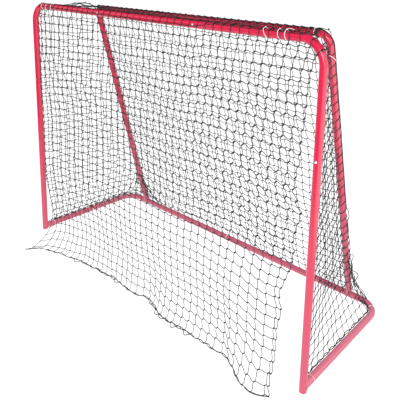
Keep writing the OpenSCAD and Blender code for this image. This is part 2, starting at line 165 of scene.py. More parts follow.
def twines(centres, radius, sides, loop=False):
    """Round beads or twines along rows of points (lines, rings, 3): their vertices, faces and
    UVs. U runs once round, and V once along each turn of a twine's lay."""
    count, rings = centres.shape[:2]
    if loop:
        ahead = np.roll(centres, -1, axis=1) - np.roll(centres, 1, axis=1)
    else:
        ahead = np.gradient(centres, axis=1)
    ahead /= np.linalg.norm(ahead, axis=2, keepdims=True) + 1e-12
    # one side is carried along from ring to ring, so the mesh doesn't twist
    start = np.where(np.abs(ahead[:, 0, 2:]) < 0.8, [[0.0, 0.0, 1.0]], [[1.0, 0.0, 0.0]])
    side = np.zeros_like(centres)
    for k in range(rings):
        start = start - (start * ahead[:, k]).sum(1, keepdims=True) * ahead[:, k]
        start /= np.linalg.norm(start, axis=1, keepdims=True) + 1e-12
        side[:, k] = start
    other = np.cross(ahead, side)
    turn = np.arange(sides) * 2 * math.pi / sides
    reach = np.broadcast_to(np.asarray(radius, float), (count, rings))[..., None, None]
    points = centres[:, :, None] + reach * (np.cos(turn)[:, None] * side[:, :, None]
                                            + np.sin(turn)[:, None] * other[:, :, None])
    number = np.arange(count * rings * sides).reshape(count, rings, sides)
    if loop:
        number = np.concatenate([number, number[:, :1]], axis=1)
    here, there = number[:, :-1], number[:, 1:]
    faces = np.stack([here, np.roll(here, -1, 2), np.roll(there, -1, 2), there], -1).reshape(-1, 4)
    steps = np.linalg.norm(np.diff(centres, axis=1), axis=2)
    if loop:
        steps = np.concatenate([steps, steps[:, -1:]], axis=1)
    along = np.concatenate([np.zeros((count, 1)), np.cumsum(steps, axis=1)], axis=1) / LAY
    spans = here.shape[1]
    u = np.broadcast_to(np.arange(sides) / sides, (count, spans, sides))
    v0 = np.broadcast_to(along[:, :spans, None], u.shape)
    v1 = np.broadcast_to(along[:, 1:spans + 1, None], u.shape)
    uv = np.stack([np.stack([u, v0], -1), np.stack([u + 1 / sides, v0], -1),
                   np.stack([u + 1 / sides, v1], -1), np.stack([u, v1], -1)], -2).reshape(-1, 2)
    return points.reshape(-1, 3), faces, uv


def piece_from(name, parts, material, stands_for=()):
    """One piece from several lots of vertices, faces and UVs, fixed to the goal."""
    total, points, faces, uvs = 0, [], [], []
    for p, f, uv in parts:
        points.append(p)
        faces.append(f + total)
        uvs.append(uv)
        total += len(p)
    mesh = bpy.data.meshes.new(name)
    mesh.from_pydata(np.concatenate(points).tolist(), [], np.concatenate(faces).tolist())
    layer = mesh.uv_layers.new(name="lay")
    layer.data.foreach_set("uv", np.concatenate(uvs).astype(np.float32).ravel())
    mesh.materials.append(material)
    mesh.polygons.foreach_set("use_smooth", np.ones(len(mesh.polygons), bool))
    piece = bpy.data.objects.new(name, mesh)
    bpy.context.scene.collection.objects.link(piece)
    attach(piece, "root")
    if stands_for:
        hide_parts(*stands_for)


turn = np.linspace(0, 2 * math.pi, 96, endpoint=False)
across, up = TUBE_R * np.cos(turn), TUBE_R * np.sin(turn)
# the joint's line lies on the post's back, a little proud of it, and clear of the floor
back = np.sqrt(np.maximum(TUBE_R ** 2 - across ** 2, 0)) + 0.0006
height = np.maximum(base_z + up * 1.02, BEAD_R + 0.0004)
for hand, name in ((-1, "left_weld_bead"), (1, "right_weld_bead")):
    bead = np.stack([hand * (post_x + across * 1.02), line_y + back, height], -1)[None]
    ripple = BEAD_R + RIPPLE * np.cos(turn * RIPPLES)
    piece_from(name, [twines(bead, ripple[None], 8, loop=True)], powder_coat)

# ---- Foot plugs --------------------------------------------------------------------------
# A moulded polypropylene plug closes each post's foot. It is coloured in the mass, a shade
# duller than the coat, and is pushed up into the tube as far as its rim.

# Polypropylene, moulded against spark-eroded steel: even, matt, with a fine grain
plug_plastic, tree, shader, place = new_finish("red_moulded_polypropylene")
# The mould's grain is about 0.3 mm; drawn at 1 mm so that it shows
grain = put(tree, "ShaderNodeTexNoise", {"Vector": place["Object"], "Scale": 1000.0, "Detail": 2.0})
rough = put(tree, "ShaderNodeBump", {"Height": grain["Fac"], "Strength": 0.25, "Distance": 0.0003})
tone = put(tree, "ShaderNodeMix",
           {"Factor": grain["Fac"], "A": rgb("#c91c39"), "B": rgb("#b81833")}, data_type="RGBA")
feed(shader, {"Base Color": tone["Result"], "Normal": rough["Normal"],
              "IOR": 1.49, "Roughness": 0.6})
for node in ("left_foot_plug", "right_foot_plug"):
    dress(node, plug_plastic)

# ---- Screws and their threaded bosses ----------------------------------------------------
# Button-head M6 screws go through both tube walls at every joint and end in a threaded boss
# in the reduced end. Both are steel, electroplated with zinc.

# Zinc plate on steel, passivated clear: pale grey, softly shining, with a slightly cloudy
# film, so a head reads as a small near-white dot
zinc, tree, shader, place = new_finish("zinc_plated_steel")
# Cloudy patches of the passivation, 4 mm apart
cloud = put(tree, "ShaderNodeTexNoise", {"Vector": place["Object"], "Scale": 250.0, "Detail": 4.0})
tone = put(tree, "ShaderNodeMix",
           {"Factor": cloud["Fac"], "A": rgb("#f6f6f8"), "B": rgb("#d9dade")}, data_type="RGBA")
polish = put(tree, "ShaderNodeMapRange", {"Value": cloud["Fac"], "To Min": 0.28, "To Max": 0.5})
feed(shader, {"Base Color": tone["Result"], "Roughness": polish["Result"],
              "Metallic": 0.85})
for node in ("frame_screws", "screw_bosses"):
    dress(node, zinc)

# ---- Net twine and knots -----------------------------------------------------------------
# The nets are knotted by machine from black polyethylene twine, 2.2 to 3 mm thick, with
# square meshes of 38 mm. Where a net hangs slack, each sheet-bend knot turns and lies as a
# short slanting link.

MESH = 0.038
TWINE_R = 0.0013                             # of the top net, the curtain and the lacing
KNOT_R = 0.0029

# Extruded polyethylene fibre, twisted and dyed black: nearly black, with a dull shine on the crowns
# of the lay painted there as a paler colour, a painted highlight, and paler where dust lies on the
# fibres
twine, tree, shader, place = new_finish("black_twisted_polyethylene_twine")
# Three strands at a lay of 8 mm: about three slanting bands for each turn round the twine
bands = put(tree, "ShaderNodeMapping", {"Vector": place["UV"], "Scale": (1.5, 1.5, 1.0),
                                        "Rotation": (0, 0, math.radians(45))})
lay = put(tree, "ShaderNodeTexWave", {"Vector": bands["Vector"], "Scale": 1.0, "Distortion": 0.6},
          wave_type="BANDS", bands_direction="X")
# Dust and wear, in patches of about 20 mm
dulling = put(tree, "ShaderNodeTexNoise", {"Vector": place["Object"], "Scale": 45.0, "Detail": 3.0})
# the paler crowns of the lay are a painted highlight
dark = put(tree, "ShaderNodeMix",
           {"Factor": lay["Fac"], "A": rgb("#0f1213"), "B": rgb("#1f2426")}, data_type="RGBA")
tone = put(tree, "ShaderNodeMix",
           {"Factor": dulling["Fac"], "A": dark["Result"], "B": rgb("#262b2d")}, data_type="RGBA")
# A pale grey on the back net between the legs, from 0.45 m up and below the top net, is painted
# glare of the bright light behind it
spot = put(tree, "ShaderNodeSeparateXYZ", {"Vector": place["Object"]})
upper = put(tree, "ShaderNodeMapRange", {"Value": spot["Z"], "From Min": 0.45, "From Max": 0.95,
                                         "To Max": 0.5}, interpolation_type="SMOOTHSTEP")
behind = put(tree, "ShaderNodeMapRange", {"Value": spot["Y"], "From Min": -0.12, "From Max": -0.10})
below = put(tree, "ShaderNodeMapRange", {"Value": spot["Z"], "From Min": 1.15, "From Max": 1.10})
side = put(tree, "ShaderNodeMath", {0: spot["X"]}, operation="ABSOLUTE")
inside = put(tree, "ShaderNodeMapRange",
             {"Value": side["Value"], "From Min": 0.645, "From Max": 0.58})
painted_glare = upper["Result"]
for part in (behind, below, inside):
    painted_glare = put(tree, "ShaderNodeMath", {0: painted_glare, 1: part["Result"]},
                 operation="MULTIPLY")["Value"]
# the mix paints that glare in pale grey
tone = put(tree, "ShaderNodeMix",
           {"Factor": painted_glare, "A": tone["Result"], "B": rgb("#8d9296")}, data_type="RGBA")
strands = put(tree, "ShaderNodeBump", {"Height": lay["Fac"], "Strength": 0.6, "Distance": 0.0004})
feed(shader, {"Base Color": tone["Result"], "Normal": strands["Normal"],
              "IOR": 1.51, "Roughness": 0.6})

STRAND_RINGS = 5                             # along a strand, from knot to knot
SPRING = 5.0                                 # how far a strand keeps the slant of its knots
SAG = np.array([0.0, 0.0, 0.001])            # of a level strand between its knots
# A knot is a pair of loops pulled tight: a lump with a waist, longer than the link in it
LUMP_PLACES = np.array([-1.0, -0.62, 0.0, 0.62, 1.0])
LUMP_GIRTH = np.array([0.12, 0.95, 0.82, 0.95, 0.12])
LUMP_END = 0.0022


def run_along(path):
    """Length run along each column's path, up to each of its points."""
    steps = np.linalg.norm(np.diff(path, axis=1), axis=2)
    return np.concatenate([np.zeros((len(path), 1)), np.cumsum(steps, axis=1)], axis=1)


def along_path(path, places):
    """Points at the given lengths along each column's path (columns, samples, 3)."""
    length = run_along(path)
    out = np.empty(places.shape + (3,))
    for i in range(len(path)):
        for axis in range(3):
            out[i, ..., axis] = np.interp(places[i], length[i], path[i, :, axis])
    return out


def knotted(columns, places, move, link, seed, radius=TWINE_R, knot=KNOT_R, loose=0.0006,
            keep=None):
    """A net from its columns' paths and the knots' places along them. move shifts each knot
    and link is half of its long axis, along which the stiff twine leaves it. loose is how far
    the strands stray between knots, and keep marks the knots that a shaped panel has. Gives
    the lots of vertices, faces and UVs, and the knots."""
    rng = np.random.default_rng(seed)
    knots = along_path(columns, places) + move
    keep = np.ones(knots.shape[:2], bool) if keep is None else keep
    knot = np.broadcast_to(np.asarray(knot, float), knots.shape[:2])
    low, high = knots - link, knots + link
    share = np.linspace(0, 1, STRAND_RINGS)
    bow = (share * (1 - share) * 4)[:, None]
    leave, arrive = (share * (1 - share) ** 2)[:, None], (share ** 2 * (share - 1))[:, None]
    pull = link * SPRING
    # upright strands, from a knot's low end to the next knot's high end
    stops = places[:, :-1, None] + share * (places[:, 1:, None] - places[:, :-1, None])
    upright = along_path(columns, stops)
    upright += ((1 - share)[:, None] * (low - knots + move)[:, :-1, None]
                + share[:, None] * (high - knots + move)[:, 1:, None])
    upright -= leave * pull[:, :-1, None] + arrive * pull[:, 1:, None]
    upright += bow * rng.normal(0, loose, upright.shape[:2] + (1, 3))
    # level strands, from a knot's high end to the next knot's low end
    level = (1 - share)[:, None] * high[:-1, :, None] + share[:, None] * low[1:, :, None]
    level += leave * pull[:-1, :, None] + arrive * pull[1:, :, None]
    level += bow * (rng.normal(0, loose, level.shape[:2] + (1, 3)) - SAG)
    # nothing goes below the floor
    for strands in (upright, level):
        strands[..., 2] = np.maximum(strands[..., 2], radius)
    knots[..., 2] = np.maximum(knots[..., 2], knot * 0.9)
    parts = [twines(upright[keep[:, :-1] & keep[:, 1:]], radius, 5),
             twines(level[keep[:-1] & keep[1:]], radius, 5)]
    axis = (high - low)[keep][:, None]
    half = np.linalg.norm(axis, axis=2, keepdims=True) / 2 + 1e-9
    lump = knots[keep][:, None] + axis / (2 * half) * LUMP_PLACES[None, :, None] * (half + LUMP_END)
    size = knot[keep][:, None] * LUMP_GIRTH * rng.uniform(0.85, 1.15, (len(lump), 1))
    lump[..., 2] = np.maximum(lump[..., 2], size)
    parts.append(twines(lump, size, 5))
    return parts, knots


def waves(knots, size, count, seed, axes=(1.0, 1.0, 1.0)):
    """Slow random waves over a net, as an offset for each knot."""
    rng = np.random.default_rng(seed)
    m, n = knots.shape[:2]
    i, j = np.meshgrid(np.linspace(0, 1, m), np.linspace(0, 1, n), indexing="ij")
    out = np.zeros(knots.shape)
    for _ in range(count):
        a, b = rng.uniform(-3.2, 3.2, 2)     # waves across the net, and down it
        phase = rng.uniform(0, 2 * math.pi, 3)
        out += np.sin(2 * math.pi * (a * i + b * j)[..., None] + phase) * rng.uniform(0.4, 1.0, 3)
    return out * size / math.sqrt(count) * np.array(axes)


def fade(knots, rim=3.0):
    """0 at a net's edges, where it is laced, rising to 1 over rim meshes."""
    m, n = knots.shape[:2]
    i = np.minimum(np.arange(m), np.arange(m)[::-1]) / rim
    j = np.minimum(np.arange(n), np.arange(n)[::-1]) / rim
    return np.minimum(1, np.minimum(i[:, None], j[None, :]))[..., None]


def slant(knots, half):
    """Half of the long axis of each knot, slanting up to the right."""
    out = np.zeros(knots.shape)
    out[..., 0] = out[..., 2] = np.asarray(half) * math.sqrt(0.5)
    return out


REST = TUBE_R + TWINE_R + 0.0002             # a twine's axis from the axis of the tube it lies on

# ---- Top net -----------------------------------------------------------------------------
# A strip of net from the crossbar's crown back over the rear top bar. It is laced to both
# bars and sags a little between them.

TOP_COLUMNS, TOP_ROWS, TOP_SAG = 38, 7, 0.013
PAST_BEND = 0.012                            # it ends just past where the bars start to bend
RUCK_AT, RUCK_REACH = (-0.58, -0.10), (0.075, 0.05)
RUCK_MOVE = [0.006, 0.012, 0.030]


def round_tube(tube, angle):
    """Points on a tube that runs across the goal, as (back, up), by the angle from its back."""
    return np.stack([tube.y + np.cos(angle) * REST, tube.z + np.sin(angle) * REST], -1)


def panel(section, columns, rows, half_width):
    """A net's columns side by side along a section, and even places for their knots."""
    path = np.zeros((columns + 1, len(section), 3))
    path[..., 0] = np.linspace(-1, 1, columns + 1)[:, None] * half_width
    path[..., 1:] = section
    return path, np.linspace(0, 1, rows + 1)[None] * run_along(path)[:, -1:]


slope = math.atan2(4 * TOP_SAG, rear_bar.y - bar.y)
front = round_tube(bar, math.pi / 2 - np.linspace(0, slope, 4))
behind = round_tube(rear_bar, np.linspace(math.pi / 2 + slope, -0.35, 12))      # and under it
share = np.linspace(0, 1, 14)[1:-1, None]
between = (1 - share) * front[-1] + share * behind[0] - 4 * TOP_SAG * share * (1 - share) * [0, 1]
section = np.concatenate([front, between, behind])
# it narrows towards the rear bar, whose bends are closer together
back_share = ((section[:, 0] - bar.y) / (rear_bar.y - bar.y)).clip(0, 1)
front_half, rear_half = post_x - BEND_R + PAST_BEND, leg_x - REAR_BEND_R + PAST_BEND
half_width = front_half + (rear_half - front_half) * back_share
path, places = panel(section, TOP_COLUMNS, TOP_ROWS, half_width)
places[:, 1:-1] *= 0.955                     # no row of knots lies on the rear bar's crest
knots = along_path(path, places)
move = fade(knots, rim=2.0) * waves(knots, 0.004, count=6, seed=11, axes=(1.2, 1.0, 0.4))
# near its left end it is rucked up over the edge of the goal's top
ruck = np.exp(-((((knots[..., :2] - RUCK_AT) / RUCK_REACH) ** 2).sum(-1)))
move += ruck[..., None] * RUCK_MOVE
link = slant(knots, half=0.0022) * [1, 1, 0]
parts, _ = knotted(path, places, move, link, seed=21, loose=0.0008)
piece_from("top_netting", parts, twine, ["top_net"])

# ---- Back net ----------------------------------------------------------------------------
# The back net comes over the rear top bar, lies against the backs of the leaning legs and is
# laced under the back of the rear base bar. Its twine is 2.8 mm thick.

BACK_COLUMNS, BACK_ROWS = 36, 33
lean = math.atan2(base_bar.y - rear_bar.y, rear_bar.z - base_bar.z)
over = round_tube(rear_bar, np.radians(np.linspace(80, 12, 6)))
down = np.linspace(0, 1, 30)[:, None]
face = (1 - down) * round_tube(rear_bar, lean) + down * round_tube(base_bar, lean)
path, places = panel(np.concatenate([over, face]), BACK_COLUMNS, BACK_ROWS, leg_x - 0.006)
knots = along_path(path, places)
move = fade(knots) * waves(knots, 0.010, count=7, seed=12, axes=(0.8, 0.6, 1.0))
link = slant(knots, half=0.0024)
parts, _ = knotted(path, places, move, link, seed=22, knot=0.0033, radius=0.0014)
piece_from("back_netting", parts, twine, ["back_net"])

# ---- Side nets ---------------------------------------------------------------------------
# Each side net is a panel cut to the goal's side, with meshes of 38 mm all over. It is
# stretched from the back of its post to the front of its leaning leg, and its foot spreads
# outwards to the base tube and round the base corner.

SIDE_COLUMNS, SIDE_ROWS = 21, 31
top_z = bar.z - 0.020
foot_z, foot_in = base_z + 0.5 * REST, 0.87 * REST + 0.003      # its foot, inside the base tube
FOOT_BEND = 0.125                            # run of its foot round the base bend
SPREAD_Z = 0.26                              # height from which it spreads to its foot
BUNCH_Z, BUNCH_TOP = 0.65, 0.95              # between these it bunches towards the post


def corner_cut(height, top, radius):
    """How far inwards a net's edge goes where its tube bends over at its top: three quarters
    as far as the tube does."""
    bend = np.clip((height - (top - radius)) / radius, 0, 1)
    return 0.75 * radius * (1 - np.sqrt(1 - bend ** 2))


def side_surface(column, height):
    """Right side net at a column counted from the post, and whether the net has it there.
    It is flat between post and leg, and spreads out to the base tube near the floor."""
    column, height = np.broadcast_arrays(column, height)
    front = np.stack([post_x - corner_cut(height, bar.z, BEND_R),
                      np.full_like(height, line_y + REST), height], -1)
    # its rear edge, lower by up to 12 mm, lies on the leg's front, a little to the outside
    share = (height - base_bar.z) / (rear_bar.z - base_bar.z)
    low = height - 0.012 * np.clip(share, 0, 1)
    rear = np.stack([leg_x + 0.3 * REST - corner_cut(low, rear_bar.z, REAR_BEND_R),
                     base_bar.y + share * (rear_bar.y - base_bar.y) - 0.95 * REST, low], -1)
    width = np.linalg.norm(rear - front, axis=-1)
    reach = column * MESH / width
    high = np.clip((height - BUNCH_Z) / (BUNCH_TOP - BUNCH_Z), 0, 1)
    bunch = 0.85 * high * reach.clip(0, 1) * (1 - reach.clip(0, 1))
    flat = front + (np.minimum(reach, 1) - bunch)[..., None] * (rear - front)
    # the foot follows the side tube, then the bend, then the base bar to the leg
    run = column * MESH
    turn = np.clip((run - side_straight) / FOOT_BEND, 0, 1) * math.pi / 2
    last = np.maximum(run - side_straight - FOOT_BEND, 0)
    back = line_y + np.minimum(run, side_straight) + (BEND_R - foot_in) * np.sin(turn)
    foot = np.stack([post_x - foot_in - (BEND_R - foot_in) * (1 - np.cos(turn)) - last,
                     np.maximum(back, line_y + REST), np.full_like(height, foot_z)], -1)
    spread = (np.clip(1 - (height - foot_z) / SPREAD_Z, 0, 1) ** 1.9)[..., None]
    # a column goes on past the leg only where its foot does
    has = ((reach < 1 + (0.55 - 0.5 * high) * MESH / width)
           | (np.linalg.norm((foot - flat) * spread, axis=-1) > 0.02))
    return flat + spread * (foot - flat) * [1, 1, 0], has


column = np.arange(SIDE_COLUMNS + 1)[:, None]
fall = np.linspace(top_z, foot_z, 260)
side_path, _ = side_surface(column, fall)
# the rows are level, one mesh apart along a column in the middle of the foot
length = run_along(side_path)
level = np.interp(np.linspace(0, 1, SIDE_ROWS + 1) * length[7, -1], length[7], fall)
places = np.stack([np.interp(-level, -fall, run) for run in length])
_, has = side_surface(column, level)
# the left one is of 3 mm twine, and the right one of 2.2 mm
for hand, name, node, seed, radius in ((-1, "left_side_netting", "left_side_net", 13, 0.0015),
                                       (1, "right_side_netting", "right_side_net", 14, 0.0011)):
    path = side_path * [hand, 1, 1]
    knots = along_path(path, places)
    move = fade(knots, rim=2.5) * waves(knots, 0.006, count=8, seed=seed, axes=(1.2, 1.0, 1.0))
    move += fade(knots, rim=1.0) * np.random.default_rng(seed).normal(0, 0.0016, knots.shape)
    if hand < 0:
        # its foot lies on the tube's crest, and its front edge hangs free of the post low down
        turn = np.clip((column * MESH - side_straight) / FOOT_BEND, 0, 1) * math.pi / 2
        crest = np.stack([-foot_in * np.cos(turn), foot_in * np.sin(turn),
                          np.full_like(turn, 0.5 * REST)], -1)
        move += np.clip(1 - (knots[..., 2] - foot_z) / 0.06, 0, 1)[..., None] * crest
        move[..., 1] += 0.034 * np.exp(-column / 1.5) * np.clip((0.30 - knots[..., 2]) / 0.25, 0, 1)
    # its links slant back instead of across
    link = slant(knots, half=0.0020)[..., [1, 0, 2]]
    parts, _ = knotted(path, places, move, link, seed=seed + 20, radius=radius,
                       knot=radius * 2.2, keep=has)
    piece_from(name, parts, twine, [node])

# ---- Lacing on the rear arch -------------------------------------------------------------
# A stout edge cord of the same polyethylene follows the rear arch. The nets' edge meshes are
# laced to it and to the tubes with their own twine, one turn for each mesh, which climbs along
# the front and crosses behind. Low on the right leg it has come loose.

EDGE_CORD_R, LOOSE_FROM = 0.0017, 0.46       # the cord is loose below this, up the right leg
LACING_STEP = 0.0365


def cord(points, radius, sides=7):
    """One cord through the given points, with the twine's lay."""
    return twines(np.asarray(points, float)[None], radius, sides)


def wander(count, size, seed, stops):
    """Slow random values along a cord, from 0 to size, drawn at a number of stops."""
    rng = np.random.default_rng(seed)
    return np.interp(np.linspace(0, 1, count), np.linspace(0, 1, stops),
                     rng.uniform(0, size, stops))


leg_len = math.hypot(base_bar.y - rear_bar.y, rear_bar.z - base_bar.z)
leg_foot = np.array([0.0, base_bar.y, base_bar.z])
up_dir = np.array([0.0, -math.sin(lean), math.cos(lean)])
out_dir = np.array([0.0, math.cos(lean), math.sin(lean)])
right, up, front = np.array([1.0, 0.0, 0.0]), np.array([0.0, 0.0, 1.0]), np.array([0.0, -1.0, 0.0])
half_bar, arch_bend = leg_x - REAR_BEND_R, REAR_BEND_R * math.pi / 2
arch_run = half_bar + arch_bend + leg_len - REAR_BEND_R      # from the bar's middle to a foot


def arch(place):
    """Centre line of the rear arch: place runs from -1 at the left foot over 0 at the middle
    of the top bar to 1 at the right foot. Gives the points, the way outwards, and how far each
    is from the bar (0) to a leg (1)."""
    run = np.abs(place) * arch_run
    angle = np.clip((run - half_bar) / arch_bend, 0, 1) * math.pi / 2
    x = np.minimum(run, half_bar) + REAR_BEND_R * np.sin(angle)
    rise = leg_len - REAR_BEND_R * (1 - np.cos(angle)) - np.maximum(run - half_bar - arch_bend, 0)
    sign = np.where(place < 0, -1, 1)
    centre = (x * sign)[:, None] * right + rise[:, None] * up_dir + leg_foot
    outward = (np.sin(angle) * sign)[:, None] * right + np.cos(angle)[:, None] * up_dir
    return centre, outward, angle / (math.pi / 2)


# the cord lies 12 degrees in front of the bar's crest and 18 behind a leg's outer side
place = np.linspace(-0.985, 0.985, 700)
centre, outward, aside = arch(place)
tilt = np.radians(-12 + 30 * aside)[:, None]
off = REST + 0.0020 * (1 - aside) + wander(len(place), 0.0012, seed=41, stops=90) * aside
line = centre + off[:, None] * (np.cos(tilt) * outward + np.sin(tilt) * out_dir)
parts = [cord(line[place < 1 - LOOSE_FROM / arch_run], EDGE_CORD_R)]
# the twine's turns, in two halves from beside the bar's middle down to the feet
for hand, phase in ((-1, 33), (1, 116)):
    place = np.linspace(0.03, 0.975, 1700)
    centre, outward, _ = arch(place * hand)
    run = place * arch_run
    turns = run * 2 * math.pi / LACING_STEP + 0.5 * np.sin(run * 21)
    turns += 0.6 * np.sin(turns + math.radians(phase))
    around = np.cos(turns)[:, None] * outward - np.sin(turns)[:, None] * out_dir
    parts.append(cord(centre + (REST - 0.0001) * around, TWINE_R, sides=5))
# three turns of twine beside the rear bar's tie
BAR_TIE_X = 0.622
turn = np.linspace(0, 6 * math.pi, 90)[:, None]
centre = np.array([BAR_TIE_X + 0.007, rear_bar.y, rear_bar.z])
parts.append(cord(centre + 0.0009 * turn / math.pi * right
                  + (REST + 0.0012) * (np.cos(turn) * up - np.sin(turn) * front), 0.0016, sides=6))


def smooth(points, steps=7):
    """A smooth line through chosen points."""
    p = np.asarray(points, float)
    p = np.concatenate([[2 * p[0] - p[1]], p, [2 * p[-1] - p[-2]]])
    t = np.linspace(0, 1, steps, endpoint=False)[None, :, None]
    a, b, c, d = (p[k:len(p) - 3 + k, None] for k in range(4))
    line = 0.5 * (2 * b + (c - a) * t + (2 * a - 5 * b + 4 * c - d) * t ** 2
                  + (3 * b - a - 3 * c + d) * t ** 3)
    return np.concatenate([line.reshape(-1, p.shape[1]), p[-2:-1]])


# the loosened strands, from the top down: out beside the leg's axis, and height along the leg
for radius, points in (
        (EDGE_CORD_R, [(.015, .470), (.017, .458), (.021, .450), (.025, .432), (.024, .412),
                       (.018, .398), (.0155, .388), (.0155, .362), (.0155, .338), (.017, .309),
                       (.020, .285), (.019, .248), (.016, .214), (.021, .176), (.023, .140),
                       (.035, .138), (.049, .126), (.040, .102), (.029, .072), (.046, .054),
                       (.064, .035), (.084, .010)]),
        (0.0016, [(.0155, .400), (.0175, .375), (.0180, .350), (.0165, .330)]),
        (0.0014, [(.017, .205), (.020, .222), (.029, .229), (.033, .224), (.029, .206),
                  (.023, .186), (.0235, .160), (.021, .135), (.019, .105), (.028, .073),
                  (.029, .040), (.044, .020), (.063, .006)]),
        (0.0013, [(.024, .184), (.0255, .165), (.024, .143), (.021, .120), (.026, .085),
                  (.040, .066), (.065, .049), (.084, .014)])):
    beside, rise = smooth(points).T[..., None]
    line = (leg_x + beside) * right + rise * up_dir + leg_foot + 0.003 * out_dir
    parts.append(cord(line, radius, sides=6))
piece_from("arch_lacing", parts, twine)

# ---- Foot cords --------------------------------------------------------------------------
# A doubled edge cord holds each side net's foot to the base tubes, from the post to just
# past the bend. It is tied down every 50 mm or so and bows away from the tube in between. On
# the right it lies inside the tube, and on the left over its crest.

FIRST_TIE = 0.020                            # behind the post's axis
base_bend = BEND_R * math.pi / 2


def base_line(run):
    """Centre line of the right base tubes, from the post round the bend to the rear bar: the
    points, the way inwards, and how far round the bend."""
    turn = np.clip((run - side_straight) / base_bend, 0, 1) * math.pi / 2
    last = np.maximum(run - side_straight - base_bend, 0)
    x = post_x - BEND_R * (1 - np.cos(turn)) - last
    y = line_y + np.minimum(run, side_straight) + BEND_R * np.sin(turn)
    inwards = np.stack([-np.cos(turn), -np.sin(turn), np.zeros_like(turn)], -1)
    return np.stack([x, y, np.full_like(x, base_z)], -1), inwards, turn / (math.pi / 2)


parts = []
for hand, seed in ((-1, 153), (1, 156)):
    for strand, radius, bulge in ((0, 0.0016, 0.0075), (1, 0.0011, 0.0035)):
        rng = np.random.default_rng(seed + strand)
        ties = np.cumsum(rng.uniform(0.040, 0.062, 60))
        ties = np.concatenate([[0], ties[ties < side_straight + base_bend]]) + FIRST_TIE
        run = np.linspace(FIRST_TIE, ties[-1], len(ties) * 14)
        phase = np.interp(run, ties, np.arange(len(ties)))
        height = np.interp(phase, np.arange(len(ties)), rng.uniform(0.6, 1.2, len(ties)))
        bow = np.abs(np.sin(math.pi * phase)) ** 0.9 * height * bulge
        centre, inwards, turned = base_line(run)
        # how far up round the tube it lies, from the tube's inner side
        rise = 30 - 22 * turned + 12 * strand if hand > 0 else 95 + 20 * strand + 0 * turned
        rise = np.radians(rise)[:, None]
        off = (REST + 0.0004 + bow)[:, None]
        line = centre + off * (np.cos(rise) * inwards + np.sin(rise) * up)
        parts.append(cord(line * [hand, 1, 1], radius))
piece_from("foot_cords", parts, twine)

# ---- Front curtain -----------------------------------------------------------------------
# A loose net of the same twine hangs over the mouth. It comes over the front of the crossbar
# and round the right bend, and is free at both edges. Its hem lies on the floor and flares out
# at the tips.

CURTAIN_COLUMNS, HANG_ROWS = 40, 33
HEM_Z = 0.0016                               # the twine's axis where it lies on the floor
# Hem on the floor, left to right: across, and out in front of the goal line
HEM = np.array([
    (-.677, .174), (-.668, .137), (-.601, .108), (-.530, .086), (-.472, .078), (-.391, .051),
    (-.332, .048), (-.262, .041), (-.152, .028), (-.028, .048), (.050, .023), (.178, .064),
    (.332, .058), (.464, .064), (.511, .047), (.544, .060), (.606, .106), (.664, .128),
    (.709, .117), (.740, .099)])
# Free edges from the floor up: across, and height
RIGHT = np.array([
    (.740, .002), (.712, .041), (.708, .130), (.709, .212), (.726, .278), (.712, .334),
    (.720, .359), (.746, .439), (.753, .509), (.745, .539), (.759, .586), (.777, .639),
    (.757, .675), (.745, .711), (.759, .783), (.759, .877), (.768, .960), (.772, 1.003),
    (.786, 1.071), (.794, 1.098), (.812, 1.128)])
LEFT = np.array([
    (-.677, .002), (-.668, .010), (-.668, .030), (-.675, .060), (-.677, .100), (-.690, .150),
    (-.710, .200), (-.735, .350), (-.757, .605), (-.750, .833), (-.738, 1.10), (-.745, 1.163)])
# Folds that grow towards the hem: place across, how far it leans with height, depth, width
FOLDS = ((-0.15, 0.62, 0.007, 0.035), (0.53, 0.10, 0.028, 0.045))

column = np.arange(CURTAIN_COLUMNS + 1)
share = column / CURTAIN_COLUMNS
bar_left, bar_end, wrap_end = -0.745, post_x - BEND_R, 0.812
reach = bar_left + share * (wrap_end - bar_left)          # along the crossbar's axis


def on_bar(reach, over, lift=REST):
    """A point on the crossbar and its right bend: reach along the axis, over the angle up
    from the bar's front."""
    bend = np.maximum(reach - bar_end, 0) / BEND_R
    centre = np.stack([np.minimum(reach, bar_end) + BEND_R * np.sin(bend),
                       np.full_like(bend, bar.y), bar.z - BEND_R * (1 - np.cos(bend))], -1)
    outward = np.stack([np.sin(bend), np.zeros_like(bend), np.cos(bend)], -1)
    return centre + lift * (np.cos(over)[..., None] * front + np.sin(over)[..., None] * outward)


# each column comes from behind the bar to its front; on the left the meshes lean
over = np.radians(np.linspace(186, 0, 24))[None] * np.ones((len(column), 1))
lean_over = 0.35 * REST * over * np.clip((0.15 - reach) / 0.4, 0, 1)[:, None]
wrap = on_bar(reach[:, None] + lean_over, over)
axis_x, _, axis_z = on_bar(reach, np.zeros(len(column)), 0.0).T

